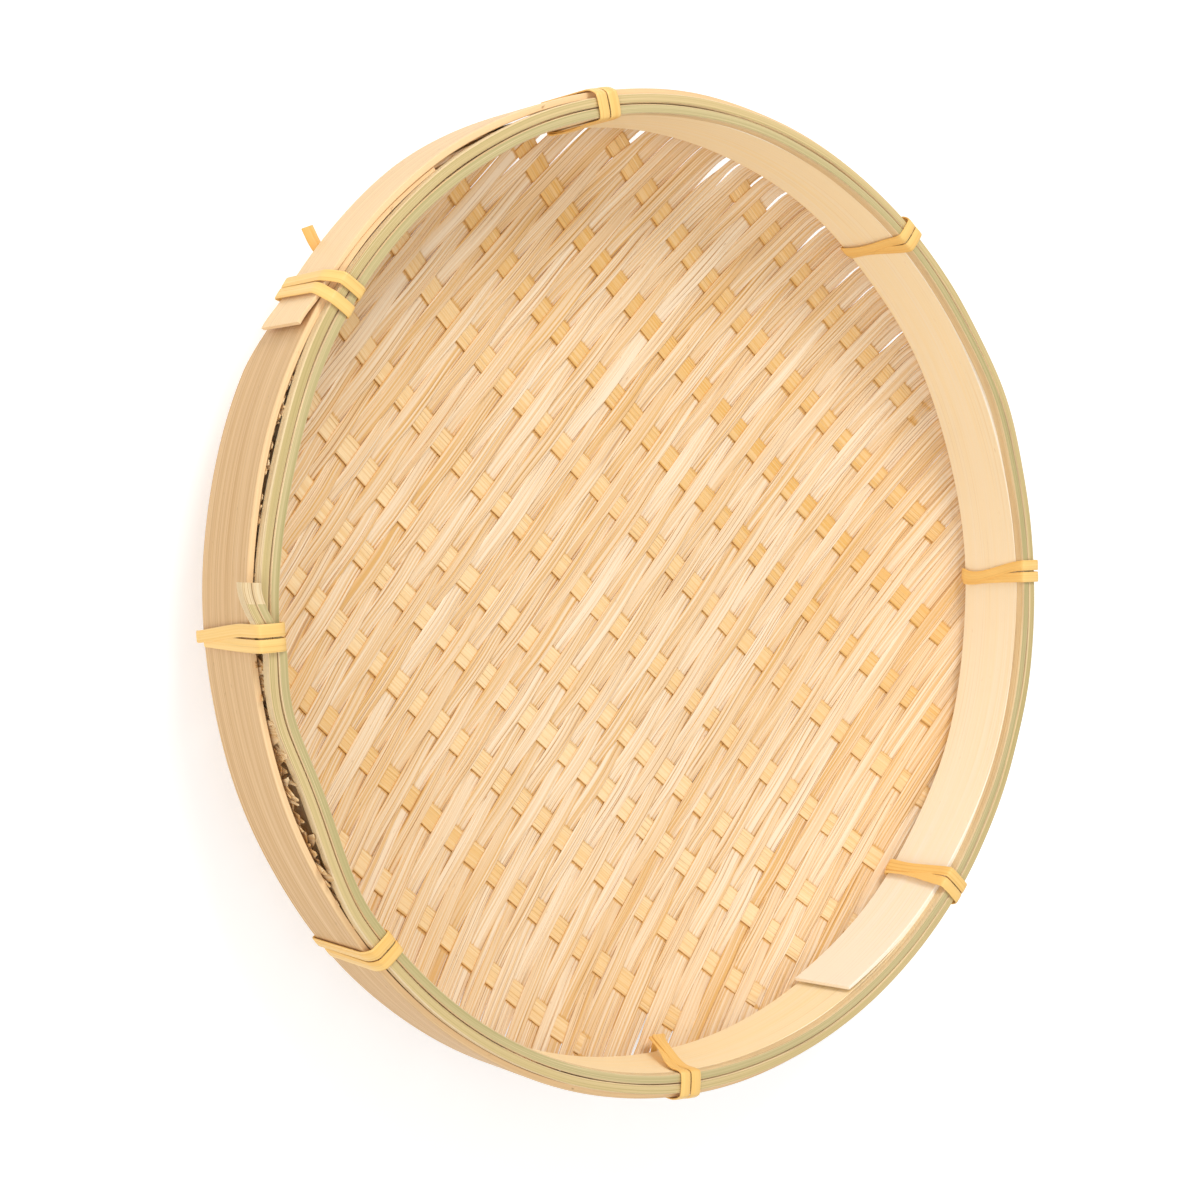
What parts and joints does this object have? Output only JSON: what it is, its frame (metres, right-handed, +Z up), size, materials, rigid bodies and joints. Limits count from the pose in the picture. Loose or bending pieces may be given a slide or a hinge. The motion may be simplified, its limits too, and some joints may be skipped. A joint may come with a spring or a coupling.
{
  "type": "round bamboo tray",
  "caption": "Shallow round tray of woven bamboo strips, held between an inner and an outer hoop, with rim splints on top and strip ties round the rim.",
  "frame": {"origin": "on the ground under the middle of the tray, where the mat's middle rests", "axes": "+Z up out of the tray's mouth; +Y away from the lower edge of the picture, seen from above"},
  "size_m": [0.3039, 0.3008, 0.056],
  "materials": {
    "pale_bamboo": "bare split bamboo, fine straight grain, satin",
    "tan_bamboo": "bare split bamboo, darker, satin",
    "outer_band": "planed bamboo band, satin",
    "inner_band": "planed bamboo band, pale, satin",
    "green_skin": "bamboo with its green-yellow skin left on, slight gloss",
    "tie_strip": "thin yellow splint, slight gloss"
  },
  "bodies": {
    "root": {"pale_strips_01": "pale_bamboo", "pale_strips_02": "pale_bamboo", "pale_strips_03": "pale_bamboo", "pale_strips_04": "pale_bamboo", "pale_strips_05": "pale_bamboo", "pale_strips_06": "pale_bamboo", "pale_strips_07": "pale_bamboo", "pale_strips_08": "pale_bamboo", "pale_strips_09": "pale_bamboo", "pale_strips_10": "pale_bamboo", "pale_strips_11": "pale_bamboo", "pale_strips_12": "pale_bamboo", "pale_strips_13": "pale_bamboo", "pale_strips_14": "pale_bamboo", "pale_strips_15": "pale_bamboo", "pale_strips_16": "pale_bamboo", "pale_strips_17": "pale_bamboo", "pale_strips_18": "pale_bamboo", "pale_strips_19": "pale_bamboo", "pale_strips_20": "pale_bamboo", "pale_strips_21": "pale_bamboo", "pale_strips_22": "pale_bamboo", "pale_strips_23": "pale_bamboo", "pale_strips_24": "pale_bamboo", "pale_strips_25": "pale_bamboo", "pale_strips_26": "pale_bamboo", "pale_strips_27": "pale_bamboo", "pale_strips_28": "pale_bamboo", "pale_strips_29": "pale_bamboo", "pale_strips_30": "pale_bamboo", "cross_strip_01": "tan_bamboo", "cross_strip_02": "tan_bamboo", "cross_strip_03": "tan_bamboo", "cross_strip_04": "tan_bamboo", "cross_strip_05": "tan_bamboo", "cross_strip_06": "tan_bamboo", "cross_strip_07": "tan_bamboo", "cross_strip_08": "tan_bamboo", "cross_strip_09": "tan_bamboo", "cross_strip_10": "tan_bamboo", "cross_strip_11": "tan_bamboo", "outer_hoop": "outer_band", "inner_hoop": "inner_band", "inner_rim_splint": "green_skin", "outer_rim_splint": "green_skin", "tie_01": "tie_strip", "tie_02": "tie_strip", "tie_03": "tie_strip", "tie_04": "tie_strip", "tie_05": "tie_strip", "tie_06": "tie_strip", "tie_07": "tie_strip", "tie_08": "tie_strip"}
  },
  "joints": []
}
